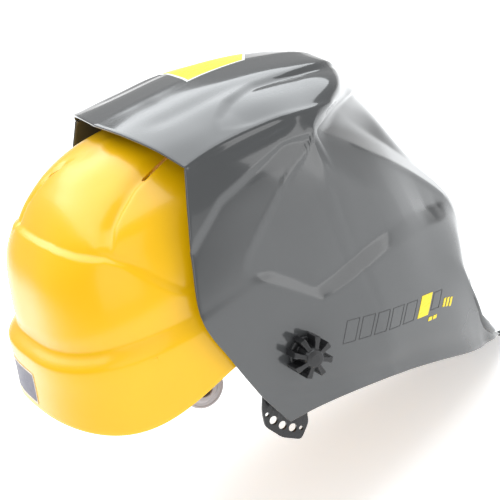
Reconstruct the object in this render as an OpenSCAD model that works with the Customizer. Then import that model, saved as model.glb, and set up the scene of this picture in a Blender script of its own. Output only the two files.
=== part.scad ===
// Hard hat with a lift-front welding hood, as worn: +X forward, +Y wearer's left, +Z up.
// Origin: centre of the head opening. Units: millimetres.

/* [Shells] */
// wall of the hard hat shell
hat_wall = 2.5; // [2.0:0.25:3.0]
// wall of the hood shell
hood_wall = 2.5; // [2.0:0.25:3.0]

/* [Window] */
// half width of the window in the hood
win_y = 39; // [36:1:39]
// half height of the window in the hood
win_z = 24; // [22:1:24]

/* [Clamp knobs] */
// radius over the ribs of a star knob
knob_r = 14.3; // [13:0.1:16]
// height of a star knob
knob_h = 16.5; // [15:0.5:18]
// number of ribs
knob_ribs = 8; // [6:1:8]

/* [Harness] */
// mean radius of the crown strap arcs
strap_r = 102; // [100:0.5:102]
// width of a crown strap
strap_w = 19; // [15:1:20]
// headband thickness
band_t = 2; // [1.5:0.25:2]

/* [Output] */
// node to build

/* [Hidden] */
KX = 35; KZ = 20;            // clamp axis of the hood
PX = -27.5; PZ = 21;         // nape cradle pivot
NT = 12;                     // slope of the nape band, degrees
WX = 200.2; WZ = -24; WT = 10.7; // window frame
SX = -5; SZ = 48;            // centre of the crown strap arcs
clr = 0.05;                  // running fit

// ---- hood: rows run from the rear edge over the roof to the chin, columns from the middle to the side edge
HOOD = [
[[5,0,188],[8,40,186],[14,76,178],[20,100,166],[8,106,142],[-4,110,113],[-16,115,76],[-10,117,41],[-2,117,9],[8,115,-18]],
[[42,0,187],[43,40,184],[46,76,176],[50,98,167],[46,107,144],[38,111,114],[30,115,78],[27,117,42],[28,117,9],[30,115,-20]],
[[86,0,183],[86,40,180],[88,72,173],[90,94,161],[86,103,143],[78,109,112],[68,113,78],[60,115,42],[58,116,8],[58,114,-25]],
[[134,0,171],[132,38,168],[128,66,161],[114,90,154],[104,99,140],[98,107,108],[92,111,74],[88,112,40],[88,111,3],[88,104,-36]],
[[168,0,154],[165,32,152],[152,62,149],[134,80,146],[110,96,143],[107,104,110],[102,109,70],[98,110,38],[98,109,1],[99,99,-41]],
[[183,0,121],[176,24,125],[158,48,132],[140,68,138],[112,94,140],[114,102,104],[112,106,68],[108,108,36],[108,106,0],[110,94,-46]],
[[187,0,105],[184,16,105],[177,32,104],[164,50,101],[151,79,96],[143,92,70],[136,98,46],[132,100,22],[132,97,-8],[136,82,-59]],
[[195,0,68],[193,20,68],[189,36,68],[184,48,67],[175,66,67],[165,80,46],[158,87,26],[155,89,6],[156,86,-20],[162,67,-74]],
[[205,0,36],[204,22,36],[202,38,35],[200,48,34],[196,55,33],[186,69,18],[178,77,4],[175,79,-10],[176,74,-32],[178,55,-83]],
[[207,0,12],[207,24,12],[205,42,12],[200,51,10],[195,58,6],[187,67,-4],[182,72,-14],[181,73,-26],[184,66,-46],[188,47,-87]],
[[200,0,-26],[200,24,-26],[198,42,-26],[192,51,-27],[188,57,-29],[183,62,-33],[181,65,-38],[182,64,-47],[187,57,-62],[196,42,-90]],
[[193,0,-62],[193,20,-62],[191,38,-62],[188,45,-62],[186,50,-63],[185,53,-65],[186,54,-68],[189,52,-73],[194,47,-80],[201,37,-92]],
[[216,0,-106],[215,8,-106],[214,14,-105],[212,19,-103],[211,23,-101],[209,26,-99],[208,28,-97],[207,30,-96],[206,32,-95],[205,33,-94]]];

// ---- hat rings, crown to rim: rear x, front x, half width, z rear, z side, z front, exponent, rear dip
HAT = [
[6,10,2,174,174,174,2,0],
[-24,40,31,169.5,171.5,171,2.5,0],
[-42,66,54,160.5,164,159,2.8,0],
[-59,88,72,148,153,144,3,0],
[-74,104,86,134.5,139.5,128,3,0],
[-86,115,94,118,122,108,3,0],
[-95,122,101,90,96,80,2.9,0],
[-98,125,102,78,76,64,2.8,0],
[-108,134,107,72,66,57,2.8,1],
[-112,140,109,54,51,42,2.8,7],
[-117,147,111,36,38,28,2.8,15]];

function cr(a,b,c,d,t) = 0.5*((2*b)+(c-a)*t+(2*a-5*b+4*c-d)*t*t+(3*b-a-3*c+d)*t*t*t);
function refine(A,n) = [for(k=[0:len(A)-2]) let(b=A[k],c=A[k+1],a=(k>0?A[k-1]:2*b-c),d=(k+2<len(A)?A[k+2]:2*c-b)) for(s=[0:n-1]) cr(a,b,c,d,s/n), A[len(A)-1]];
function flip(p) = [p[0],-p[1],p[2]];
// full rows, right edge to left edge
function whole(R) = let(m=len(R)-1) [for(j=[m:-1:1]) flip(R[j]), for(j=[0:m]) R[j]];
function grid(nu,nv) = [for(R=refine(HOOD,nu)) whole(refine(R,nv))];
function ring(r,n) = let(xc=(r[0]+r[1])/2, e=2/r[6]) [for(i=[0:n-1]) let(a=360*i/n,c=cos(a),s=sin(a),cx=sign(c)*pow(abs(c),e),sy=sign(s)*pow(abs(s),e),
  z=c>0?r[4]+(r[5]-r[4])*cx*cx:r[4]+(r[3]-r[4])*cx*cx-r[7]*6.75*cx*cx*(1-abs(cx))) [c>0?xc+(r[1]-xc)*cx:xc+(xc-r[0])*cx, r[2]*sy, z]];
function hat_grid(nu,n) = [for(r=refine(HAT,nu)) ring(r,n)];
function unit(v) = v/norm(v);
// outward normals: open grid and closed grid
function nrm(G) = let(n=len(G),m=len(G[0])) [for(i=[0:n-1]) [for(j=[0:m-1]) unit(cross(G[min(i+1,n-1)][j]-G[max(i-1,0)][j], G[i][min(j+1,m-1)]-G[i][max(j-1,0)]))]];
function nrmc(G) = let(n=len(G),m=len(G[0])) [for(i=[0:n-1]) [for(j=[0:m-1]) unit(cross(G[min(i+1,n-1)][j]-G[max(i-1,0)][j], G[i][(j+1)%m]-G[i][(j+m-1)%m]))]];
function flat2(G) = [for(r=G) for(p=r) p];
function shift(G,N,d) = [for(i=[0:len(G)-1]) [for(j=[0:len(G[0])-1]) G[i][j]+d*N[i][j]]];

// closed sheet between two copies of an open grid
module sheet(A,B) {
  n=len(A); m=len(A[0]); o=n*m;
  polyhedron(concat(flat2(A),flat2(B)), convexity=8, faces=[
    for(i=[0:n-2]) for(j=[0:m-2]) each [[i*m+j,i*m+j+1,(i+1)*m+j],[i*m+j+1,(i+1)*m+j+1,(i+1)*m+j]],
    for(i=[0:n-2]) for(j=[0:m-2]) each [[o+i*m+j,o+(i+1)*m+j,o+i*m+j+1],[o+i*m+j+1,o+(i+1)*m+j,o+(i+1)*m+j+1]],
    for(i=[0:n-2]) each [[i*m,(i+1)*m,o+i*m],[(i+1)*m,o+(i+1)*m,o+i*m]],
    for(i=[0:n-2]) each [[i*m+m-1,o+i*m+m-1,(i+1)*m+m-1],[(i+1)*m+m-1,o+i*m+m-1,o+(i+1)*m+m-1]],
    for(j=[0:m-2]) each [[j,o+j,j+1],[j+1,o+j,o+j+1]],
    for(j=[0:m-2]) each [[(n-1)*m+j,(n-1)*m+j+1,o+(n-1)*m+j],[(n-1)*m+j+1,o+(n-1)*m+j+1,o+(n-1)*m+j]]]);
}
// closed shell between two stacks of rings, capped at the crown
module cup(A,B) {
  n=len(A); m=len(A[0]); o=n*m; t=2*o;
  ta=[(A[0][0][0]+A[0][m/2][0])/2,0,A[0][0][2]]; tb=[ta[0],0,B[0][0][2]];
  polyhedron(concat(flat2(A),flat2(B),[ta,tb]), convexity=8, faces=[
    for(i=[0:n-2]) for(j=[0:m-1]) let(k=(j+1)%m) each [[i*m+j,i*m+k,(i+1)*m+j],[i*m+k,(i+1)*m+k,(i+1)*m+j]],
    for(i=[0:n-2]) for(j=[0:m-1]) let(k=(j+1)%m) each [[o+i*m+j,o+(i+1)*m+j,o+i*m+k],[o+i*m+k,o+(i+1)*m+j,o+(i+1)*m+k]],
    for(j=[0:m-1]) let(k=(j+1)%m) each [[(n-1)*m+j,(n-1)*m+k,o+(n-1)*m+j],[(n-1)*m+k,o+(n-1)*m+k,o+(n-1)*m+j]],
    for(j=[0:m-1]) let(k=(j+1)%m) [j,t,k],
    for(j=[0:m-1]) let(k=(j+1)%m) [o+j,o+k,t+1]]);
}
module both() { children(); mirror([0,1,0]) children(); }
module along_y(y0,y1,r) translate([0,y0,0]) rotate([-90,0,0]) cylinder(r=r,h=y1-y0,$fn=48);
module window() translate([WX,0,WZ]) rotate([0,WT,0]) children();
module nape() translate([PX,0,PZ]) rotate([0,NT,0]) children();
module at(a) translate([SX,0,0]) rotate([0,0,a]) children();
module bx(x0,x1,y0,y1,z0,z1) translate([x0,y0,z0]) cube([x1-x0,y1-y0,z1-z0]);

// ================= hat
module hat_shell() color([0.98,0.80,0.05]) {
  G=hat_grid(2,48); N=nrmc(G);
  difference() {
    union() {
      cup(G,shift(G,N,-hat_wall));
      for(a=[60,-60]) at(a) bx(107.5,119.5,-11,11,50,65);
      for(a=[120,-120]) at(a) bx(107.5,111.5,-11,11,50,65);
      both() bx(-1,31,97,107.3,42,57);
    }
    for(a=[60,-60,120,-120]) at(a) bx(107,110.4,-6.1,6.1,53.9,62.1);
    both() bx(3.9,26.1,99.4,102.1,40,60);
    // vents: a long one each side of the crown, and a short one at the rear left
    both() translate([21.5,56,162.5]) rotate([-29,-7.4,-15]) cube([40,3.6,20],center=true);
    translate([-29.5,22.5,166]) rotate([0,-15,-62]) cube([18,3.4,20],center=true);
  }
}
module nape_label() color([0.30,0.27,0.36]) {
  G=hat_grid(2,48); N=nrmc(G);
  P=[for(i=[17:20]) [for(j=[22:24]) G[i][j]]]; Q=[for(i=[17:20]) [for(j=[22:24]) N[i][j]]];
  sheet(shift(P,Q,0.45),shift(P,Q,0.05));
}
module strap(a,r) color([0.13,0.13,0.14]) translate([SX,0,SZ]) rotate([90,0,a]) rotate([0,0,6])
  rotate_extrude(angle=168,$fn=96) translate([r,-strap_w/2]) square([1.2,strap_w]);
module crown_strap_a() strap(60,strap_r-0.6);
module crown_strap_b() strap(-60,strap_r-2.3);
function hb(t,d) = [6+(100-d)*cos(t),(76-d)*sin(t)];
module band2d(d0,d1,tail) polygon([for(t=[-90:5:90]) hb(t,d0), [-tail,76-d0], [-tail,76-d1], for(t=[90:-5:-90]) hb(t,d1), [-tail,-76+d1], [-tail,-76+d0]]);
module strap_anchors() color([0.10,0.10,0.11]) difference() {
  for(a=[60,-60,120,-120]) at(a) { bx(103,105.5,-12,12,37,70); bx(105.5,109.8,-6,6,54,62); bx(70,103,-8,8,40.5,43.8); }
  translate([0,0,30]) linear_extrude(20) difference() { polygon(concat([for(t=[-90:5:90]) hb(t,0)],[[-70,76],[-70,-76]])); }
}
module headband() color([0.12,0.12,0.13]) difference() {
  union() {
    translate([0,0,18]) linear_extrude(26) band2d(0,band_t,48);
    both() translate([PX,0,PZ]) { along_y(74,76,13); along_y(75,83,5.9); }
  }
  both() translate([PX,0,PZ]) along_y(81,84,3.2);
}
module sweatband() color([0.16,0.16,0.17]) translate([0,0,19]) linear_extrude(24)
  polygon([for(t=[-70:5:70]) hb(t,band_t+0.1), for(t=[70:-5:-70]) hb(t,band_t+4.5)]);
module pivot_rings() color([0.70,0.66,0.65]) both() translate([PX,0,PZ]) difference() {
  union() { along_y(81.0,83.6,14.7); along_y(83.6,85.4,9.2); }
  along_y(80,86,5.9);
  difference() { along_y(83.0,84,13.4); along_y(82,85,10.2); }
}
module slot_adapter() { bx(4,26,99.5,102,20,62); bx(2,28,98,103,32.5,36.5); }
module slot_adapter_left() color([0.10,0.10,0.11]) difference() { slot_adapter(); translate([0,0,0]) for(p=[[10,26],[20,28]]) translate([p[0],0,p[1]]) along_y(97,106,1.5); }
module slot_adapter_right() color([0.10,0.10,0.11]) mirror([0,1,0]) difference() { slot_adapter(); for(p=[[10,26],[20,28]]) translate([p[0],0,p[1]]) along_y(97,106,1.5); }
module arm_plates() color([0.09,0.09,0.10]) both() difference() {
  union() { translate([KX,0,KZ]) along_y(102,105,11.8); bx(4,35,102,105,8.2,31.8); }
  translate([KX,0,KZ]) along_y(101,106,4);
  for(p=[[10,26],[20,28]]) translate([p[0],0,p[1]]) along_y(101,106,1.5);
}
module arm_rivets() color([0.55,0.55,0.57]) both() for(p=[[10,26],[20,28]]) translate([p[0],0,p[1]]) { along_y(99.5,105,1.5); along_y(98.5,99.5,2.6); }
// perforated plate: hub on the clamp axis and a lower lobe with five holes
PLATE_HOLES = [[-0.3,-15,2.9],[3.9,-21.7,2.9],[9.5,-27.2,2.9],[-2.6,-9,1.5],[14.6,-30.7,1.5]];
module position_plates() color([0.06,0.06,0.07]) both() difference() {
  union() {
    translate([KX,0,KZ]) along_y(105,107.5,11.8);
    translate([0,105,0]) rotate([90,0,0]) mirror([0,0,1]) linear_extrude(2.5)
      polygon([[30,30],[22,28],[9,17],[0.5,5],[-1.5,2],[-5,-6],[-6.8,-15.3],[-3.5,-23],[0.5,-29],[5.3,-34.5],[9.7,-37.3],[12.2,-37.2],[17,-34.7],[21.5,-28.6],[23.5,-21.5],[33,-4],[44,10]]);
  }
  translate([KX,0,KZ]) along_y(104,108,4);
  for(h=PLATE_HOLES) translate([h[0],0,h[1]]) along_y(104,108,h[2]);
  both() bx(-40,60,100,110,32,60);
}
module clamp_studs() color([0.62,0.62,0.64]) both() translate([KX,0,KZ]) { along_y(102,131.5,4); translate([0,98,0]) rotate([-90,0,0]) cylinder(r=6.5,h=4,$fn=6); }
module friction_washers() color([0.20,0.20,0.21]) both() translate([KX,0,KZ]) difference() { along_y(107.5,110.3,11.5); along_y(107,111,4); }

// ================= nape cradle
module guide() difference() {
  union() { along_y(76.2,80.8,13); bx(-34,-6,76.2,80.8,-9,9); }
  along_y(76,81,5.95);
  bx(-40,-9,77.35,79.45,-6.2,6.2);
  bx(-40,-21.6,70,79.45,-6.2,6.2); // open inward behind the closed slot, for the band's bend
}
module nape_guide_left() color([0.11,0.11,0.12]) nape() guide();
module nape_guide_right() color([0.11,0.11,0.12]) mirror([0,1,0]) nape() guide();
function nb(t,d) = [-30-(38-d)*sin(t),(79.3-d)*cos(t)];
module half_band(y0) linear_extrude(12,center=true) polygon([[-17.5,79.3],for(t=[0:5:85]) nb(t,0),[-68,y0],[-66.2,y0],for(t=[85:-5:0]) nb(t,1.8),[-17.5,77.5]]);
module nape_band_left() color([0.14,0.14,0.15]) nape() half_band(4);
module nape_band_right() color([0.14,0.14,0.15]) mirror([0,1,0]) nape() half_band(4);
module ratchet_housing() color([0.10,0.10,0.11]) nape() difference() {
  bx(-71.5,-63.6,-24,24,-10.5,10.5);
  intersection() { bx(-72,-62,-25,25,-6.15,6.15); linear_extrude(20,center=true) polygon([[-68.3,0],for(t=[90:-5:60]) nb(t,-0.2),[-50,42],[-50,38],for(t=[60:5:90]) nb(t,2.0),for(t=[90:-5:60]) let(p=nb(t,2.0)) [p[0],-p[1]],[-50,-38],[-50,-42],for(t=[60:5:90]) let(p=nb(t,-0.2)) [p[0],-p[1]]]); }
  translate([-80,0,0]) rotate([0,90,0]) cylinder(r=4.05,h=14,$fn=48);
}
module nape_pad() color([0.17,0.17,0.18]) nape() linear_extrude(20,center=true) polygon([for(t=[125:-5:55]) nb(t,4.6)*1, for(t=[55:5:125]) nb(t,9)]);
module ratchet_knob() color([0.09,0.09,0.10]) nape() difference() {
  union() { translate([-79.5,0,0]) rotate([0,90,0]) cylinder(r=11.5,h=7.7,$fn=60);
    for(a=[0:30:330]) rotate([a,0,0]) bx(-79.5,-71.8,-1.6,1.6,10.5,13); }
  translate([-75,0,0]) rotate([0,90,0]) cylinder(r=2.6,h=6,$fn=36);
}
module ratchet_pinion() color([0.55,0.55,0.56]) nape() translate([-75,0,0]) rotate([0,90,0]) { cylinder(r=2.6,h=3.2,$fn=36); translate([0,0,3.2]) cylinder(r=4,h=3.4,$fn=48); }

// ================= hood
module hood_shell() color([0.42,0.43,0.44]) {
  G=grid(3,2); N=nrm(G);
  difference() {
    union() {
      sheet(G,shift(G,N,-hood_wall));
      both() translate([KX,0,KZ]) along_y(110.4,117.6,11.5);
      window() difference() { bx(-9,-2.4,-win_y-4,win_y+4,-win_z-4,win_z+4); bx(-30,30,-win_y,win_y,-win_z,win_z); }
      for(y=[-36,36]) for(z=[-41,41]) window() translate([-19.6,y,z]) rotate([0,90,0]) cylinder(r=3,h=17.4,$fn=36);
    }
    window() bx(-30,30,-win_y,win_y,-win_z,win_z);
    both() translate([KX,0,KZ]) along_y(100,125,4+clr);
    both() translate([KX,0,KZ]) along_y(117.6,125,15);
    for(y=[-36,36]) for(z=[-41,41]) window() translate([-20,y,z]) rotate([0,90,0]) cylinder(r=1.2,h=12,$fn=30);
  }
}
module side_decals() color([0.95,0.80,0.10]) {
  G=grid(3,2); N=nrm(G); w=len(G[0])-1;
  P=[for(i=[6:22]) [for(j=[2:3]) G[i][j]]]; Q=[for(i=[6:22]) [for(j=[2:3]) N[i][j]]];
  both() sheet(shift(P,Q,0.65),shift(P,Q,0.25));
}
module roof_decal() color([0.95,0.80,0.10]) {
  G=grid(3,2); N=nrm(G); c=(len(G[0])-1)/2;
  P=[for(i=[5:9]) [for(j=[c:c+3]) G[i][j]]]; Q=[for(i=[5:9]) [for(j=[c:c+3]) N[i][j]]];
  sheet(shift(P,Q,0.45),shift(P,Q,0.05));
}
module front_cover() color([0.75,0.82,0.85,0.5]) window() bx(-10.3,-9.1,-47,47,-33,33);
module filter_case() color([0.08,0.08,0.09]) window() difference() {
  bx(-19.5,-10.5,-48,48,-37,37);
  bx(-14,-10,-37.1,37.1,-22.1,13.1);
  bx(-21,-13,-35,35,-20,11);
  bx(-12,-10,-28.1,28.1,15.4,22.1);
  for(y=[-34,34]) translate([-12.5,y,18.8]) rotate([0,90,0]) cylinder(r=3.05,h=4,$fn=36);
  bx(-17.6,-12.4,-28.2,-7.8,-40,-23.3);
  for(y=[8,20]) translate([-20,y,-30]) rotate([0,90,0]) cylinder(r=2.05,h=5,$fn=36);
  translate([-20,-40,-30]) rotate([0,90,0]) cylinder(r=2.05,h=5,$fn=36);
  translate([-20,34,-30]) rotate([0,90,0]) cylinder(r=3.05,h=5,$fn=36);
}
module filter_glass() color([0.05,0.12,0.08]) window() bx(-13.9,-11.2,-37,37,-22,13);
module solar_cell() color([0.10,0.08,0.20]) window() bx(-11.9,-11,-28,28,15.5,22);
module arc_sensors() color([0.20,0.03,0.03]) window() for(y=[-34,34]) translate([-12.5,y,18.8]) rotate([0,90,0]) cylinder(r=3,h=1.5,$fn=36);
module inner_cover() color([0.75,0.82,0.85,0.5]) window() bx(-20.8,-19.6,-41,41,-24,17);
module retainer_frame() color([0.10,0.10,0.11]) window() difference() {
  bx(-22.6,-19.6,-50,50,-46,46);
  bx(-25,-15,-43,43,-35.5,35.5);
  for(y=[-36,36]) for(z=[-41,41]) translate([-25,y,z]) rotate([0,90,0]) cylinder(r=1.6,h=8,$fn=36);
}
module retainer_screws() color([0.65,0.65,0.67]) window() for(y=[-36,36]) for(z=[-41,41]) translate([0,y,z]) rotate([0,90,0]) {
  translate([0,0,-24.4]) cylinder(r=2.8,h=1.8,$fn=36); translate([0,0,-22.6]) cylinder(r=1.2,h=10.5,$fn=30); }
module dial(y,r) window() translate([0,y,-30]) rotate([0,90,0]) { translate([0,0,-23.6]) cylinder(r=r,h=4,$fn=36); translate([0,0,-19.6]) cylinder(r=2,h=3.6,$fn=36); }
module shade_dial() color([0.12,0.12,0.13]) difference() { dial(20,5); window() bx(-24,-23,19.4,20.6,-35,-29); }
module sensitivity_dial() color([0.12,0.12,0.13]) difference() { dial(8,5); window() bx(-24,-23,7.4,8.6,-35,-29); }
module delay_dial() color([0.12,0.12,0.13]) difference() { dial(-40,2.8); window() bx(-24,-23,-40.5,-39.5,-33,-29); }
module test_button() color([0.70,0.10,0.08]) window() translate([-21.5,34,-30]) rotate([0,90,0]) cylinder(r=3,h=5.2,$fn=36);
module battery_drawer() color([0.13,0.13,0.14]) window() difference() {
  union() { bx(-17.5,-12.5,-28,-8,-37.1,-23.6); bx(-18.2,-11.8,-30,-6,-39,-37.1); }
  translate([-17.6,-18,-30.3]) rotate([0,90,0]) cylinder(r=6.3,h=2.2,$fn=48);
}
module battery_cell() color([0.72,0.72,0.74]) window() translate([-17.45,-18,-30.3]) rotate([0,90,0]) cylinder(r=6.25,h=2,$fn=48);

// ================= clamp knobs
module star_knob() translate([KX,0,KZ]) difference() {
  union() {
    along_y(118.2,120.6,knob_r-2.6);
    along_y(118.2,118.2+knob_h,7.6);
    for(k=[0:knob_ribs-1]) rotate([0,k*360/knob_ribs,0]) { bx(0,knob_r,118.2,130,-1.7,1.7); bx(0,knob_r-1.2,118.2,117.4+knob_h,-1.7,1.7); }
  }
  along_y(117,119.2+12.4,5.5);
}
module star_knob_left() color([0.05,0.05,0.06]) star_knob();
module star_knob_right() color([0.05,0.05,0.06]) mirror([0,1,0]) star_knob();
module knob_insert() translate([KX,0,KZ]) difference() { along_y(118.6,131.4,5.5); along_y(117,132,4+clr); }
module knob_insert_left() color([0.75,0.60,0.30]) knob_insert();
module knob_insert_right() color([0.75,0.60,0.30]) mirror([0,1,0]) knob_insert();

hat_shell();
nape_label();
crown_strap_a();
crown_strap_b();
strap_anchors();
headband();
sweatband();
pivot_rings();
slot_adapter_left();
slot_adapter_right();
arm_plates();
arm_rivets();
position_plates();
clamp_studs();
friction_washers();
nape_guide_left();
nape_guide_right();
nape_band_left();
nape_band_right();
ratchet_housing();
nape_pad();
ratchet_knob();
ratchet_pinion();
hood_shell();
side_decals();
roof_decal();
front_cover();
filter_case();
filter_glass();
solar_cell();
arc_sensors();
inner_cover();
retainer_frame();
retainer_screws();
shade_dial();
sensitivity_dial();
delay_dial();
test_button();
battery_drawer();
battery_cell();
star_knob_left();
star_knob_right();
knob_insert_left();
knob_insert_right();
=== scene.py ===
import bpy
import bmesh
import math
import numpy as np
from mathutils import Matrix, Vector
from mathutils.kdtree import KDTree
from mathutils.bvhtree import BVHTree


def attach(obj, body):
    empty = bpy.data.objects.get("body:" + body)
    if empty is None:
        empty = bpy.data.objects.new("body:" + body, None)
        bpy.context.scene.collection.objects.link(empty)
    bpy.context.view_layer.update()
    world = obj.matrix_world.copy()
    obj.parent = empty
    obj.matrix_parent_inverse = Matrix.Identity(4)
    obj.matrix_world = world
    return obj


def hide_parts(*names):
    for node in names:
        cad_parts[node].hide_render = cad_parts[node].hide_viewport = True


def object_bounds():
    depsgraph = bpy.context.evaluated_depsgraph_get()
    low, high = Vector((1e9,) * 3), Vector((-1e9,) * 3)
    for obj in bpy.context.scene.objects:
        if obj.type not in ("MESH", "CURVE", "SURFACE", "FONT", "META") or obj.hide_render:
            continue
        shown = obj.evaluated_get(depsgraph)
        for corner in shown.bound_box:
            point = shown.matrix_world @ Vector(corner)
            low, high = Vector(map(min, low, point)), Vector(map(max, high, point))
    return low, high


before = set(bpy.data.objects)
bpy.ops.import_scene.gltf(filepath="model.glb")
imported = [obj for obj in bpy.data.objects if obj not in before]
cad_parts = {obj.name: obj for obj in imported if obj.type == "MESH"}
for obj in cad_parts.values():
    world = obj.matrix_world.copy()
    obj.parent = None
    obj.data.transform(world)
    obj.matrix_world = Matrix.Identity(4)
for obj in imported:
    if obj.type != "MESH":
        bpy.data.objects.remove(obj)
CAD_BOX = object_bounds()
MM = 0.001
SC = bpy.context.scene

# ------------------------------------------------------------------ camera
cam_data = bpy.data.cameras.new("camera")
cam_data.sensor_width = 36
cam_data.lens = 144
cam_data.clip_start = 0.05
cam_data.clip_end = 20
cam = bpy.data.objects.new("camera", cam_data)
SC.collection.objects.link(cam)
CR, CU, CB = (0.8214, -0.4226, -0.3830), (0.4980, 0.2039, 0.8429), (-0.27814, -0.88308, 0.37790)
cam.matrix_world = Matrix((
    (CR[0], CU[0], CB[0], -0.322307),
    (CR[1], CU[1], CB[1], -1.236311),
    (CR[2], CU[2], CB[2], 0.580931),
    (0, 0, 0, 1)))
SC.camera = cam

# ------------------------------------------------------------------ shapes shared with the CAD (mm)
HOOD = np.array([
[[5,0,188],[8,40,186],[14,76,178],[20,100,166],[8,106,142],[-4,110,113],[-16,115,76],[-10,117,41],[-2,117,9],[8,115,-18]],
[[42,0,187],[43,40,184],[46,76,176],[50,98,167],[46,107,144],[38,111,114],[30,115,78],[27,117,42],[28,117,9],[30,115,-20]],
[[86,0,183],[86,40,180],[88,72,173],[90,94,161],[86,103,143],[78,109,112],[68,113,78],[60,115,42],[58,116,8],[58,114,-25]],
[[134,0,171],[132,38,168],[128,66,161],[114,90,154],[104,99,140],[98,107,108],[92,111,74],[88,112,40],[88,111,3],[88,104,-36]],
[[168,0,154],[165,32,152],[152,62,149],[134,80,146],[110,96,143],[107,104,110],[102,109,70],[98,110,38],[98,109,1],[99,99,-41]],
[[183,0,121],[176,24,125],[158,48,132],[140,68,138],[112,94,140],[114,102,104],[112,106,68],[108,108,36],[108,106,0],[110,94,-46]],
[[187,0,105],[184,16,105],[177,32,104],[164,50,101],[151,79,96],[143,92,70],[136,98,46],[132,100,22],[132,97,-8],[136,82,-59]],
[[195,0,68],[193,20,68],[189,36,68],[184,48,67],[175,66,67],[165,80,46],[158,87,26],[155,89,6],[156,86,-20],[162,67,-74]],
[[205,0,36],[204,22,36],[202,38,35],[200,48,34],[196,55,33],[186,69,18],[178,77,4],[175,79,-10],[176,74,-32],[178,55,-83]],
[[207,0,12],[207,24,12],[205,42,12],[200,51,10],[195,58,6],[187,67,-4],[182,72,-14],[181,73,-26],[184,66,-46],[188,47,-87]],
[[200,0,-26],[200,24,-26],[198,42,-26],[192,51,-27],[188,57,-29],[183,62,-33],[181,65,-38],[182,64,-47],[187,57,-62],[196,42,-90]],
[[193,0,-62],[193,20,-62],[191,38,-62],[188,45,-62],[186,50,-63],[185,53,-65],[186,54,-68],[189,52,-73],[194,47,-80],[201,37,-92]],
[[216,0,-106],[215,8,-106],[214,14,-105],[212,19,-103],[211,23,-101],[209,26,-99],[208,28,-97],[207,30,-96],[206,32,-95],[205,33,-94]]], float)
HAT = np.array([
[6,10,2,174,174,174,2,0],[-24,40,31,169.5,171.5,171,2.5,0],[-42,66,54,160.5,164,159,2.8,0],
[-59,88,72,148,153,144,3,0],[-74,104,86,134.5,139.5,128,3,0],[-86,115,94,118,122,108,3,0],
[-95,122,101,90,96,80,2.9,0],[-98,125,102,78,76,64,2.8,0],[-108,134,107,72,66,57,2.8,1],
[-112,140,109,54,51,42,2.8,7],[-117,147,111,36,38,28,2.8,15]], float)
K = (35.0, 0.0, 20.0)
PV = (-27.5, 0.0, 21.0)
NT = math.radians(12)
WIN, WT = (200.2, 0.0, -24.0), math.radians(10.7)


def sstep(a, b, x):
    t = np.clip((x - a) / (b - a), 0, 1)
    return t * t * (3 - 2 * t)


def spline(A, n, crease):
    """Catmull-Rom along the first axis, n steps a span. crease[k] (broadcast over the rest) makes the tangents at k one-sided."""
    A = np.asarray(A, float)
    m = len(A)
    ext = np.concatenate([[2 * A[0] - A[1]], A, [2 * A[-1] - A[-2]]])
    mid = (ext[2:] - ext[:-2]) / 2
    left = ext[1:-1] - ext[:-2]
    right = ext[2:] - ext[1:-1]
    c = crease[..., None]
    tl, tr = mid * (1 - c) + left * c, mid * (1 - c) + right * c
    out = []
    for k in range(m - 1):
        for s in range(n):
            t = s / n
            h1 = 2 * t ** 3 - 3 * t * t + 1
            h2 = t ** 3 - 2 * t * t + t
            h3 = -2 * t ** 3 + 3 * t * t
            h4 = t ** 3 - t * t
            out.append(h1 * A[k] + h2 * tr[k] + h3 * A[k + 1] + h4 * tl[k + 1])
    out.append(A[-1])
    return np.array(out)


def lin(A, n):
    A = np.asarray(A, float)
    out = [A[k] + (A[k + 1] - A[k]) * s / n for k in range(len(A) - 1) for s in range(n)]
    return np.array(out + [A[-1]])


def grid_normals(G, closed=False):
    if closed:
        du = np.gradient(G, axis=0)
        dv = (np.roll(G, -1, 1) - np.roll(G, 1, 1)) / 2
    else:
        du, dv = np.gradient(G, axis=0), np.gradient(G, axis=1)
    n = np.cross(du, dv)
    return n / np.maximum(np.linalg.norm(n, axis=2, keepdims=True), 1e-9)


def relax(G, times, keep=None, closed=False):
    """Rounds creases as a mould does. keep marks vertices that stay."""
    G = G.copy()
    for _ in range(times):
        H = G.copy()
        H[1:-1] += 0.25 * (G[2:] + G[:-2] - 2 * G[1:-1])
        if closed:
            H += 0.25 * (np.roll(G, 1, 1) + np.roll(G, -1, 1) - 2 * G)
        else:
            H[:, 1:-1] += 0.25 * (G[:, 2:] + G[:, :-2] - 2 * G[:, 1:-1])
        if keep is not None:
            H = np.where(keep[..., None], G, H)
        G = H
    return G


def poly_dist(x, z, line):
    """Distance to a polyline."""
    best = np.full(x.shape, 1e9)
    for (x0, z0), (x1, z1) in zip(line[:-1], line[1:]):
        dx, dz = x1 - x0, z1 - z0
        t = np.clip(((x - x0) * dx + (z - z0) * dz) / (dx * dx + dz * dz), 0, 1)
        best = np.minimum(best, np.hypot(x - x0 - t * dx, z - z0 - t * dz))
    return best


def inside(x, z, ring):
    r = np.zeros(x.shape, bool)
    n = len(ring)
    for i in range(n):
        (x0, z0), (x1, z1) = ring[i], ring[(i + 1) % n]
        c = ((z0 > z) != (z1 > z))
        with np.errstate(divide="ignore", invalid="ignore"):
            r ^= c & (x < (x1 - x0) * (z - z0) / (z1 - z0 + 1e-12) + x0)
    return r


# ------------------------------------------------------------------ mesh helpers
def new_mesh(name, verts, faces, smooth_angle=35, uv=None):
    me = bpy.data.meshes.new(name)
    me.from_pydata((np.asarray(verts, float) * MM).tolist(), [], faces)
    me.validate()
    me.update()
    ob = bpy.data.objects.new(name, me)
    SC.collection.objects.link(ob)
    fix_normals(ob)
    smooth(ob, smooth_angle)
    return ob


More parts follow.
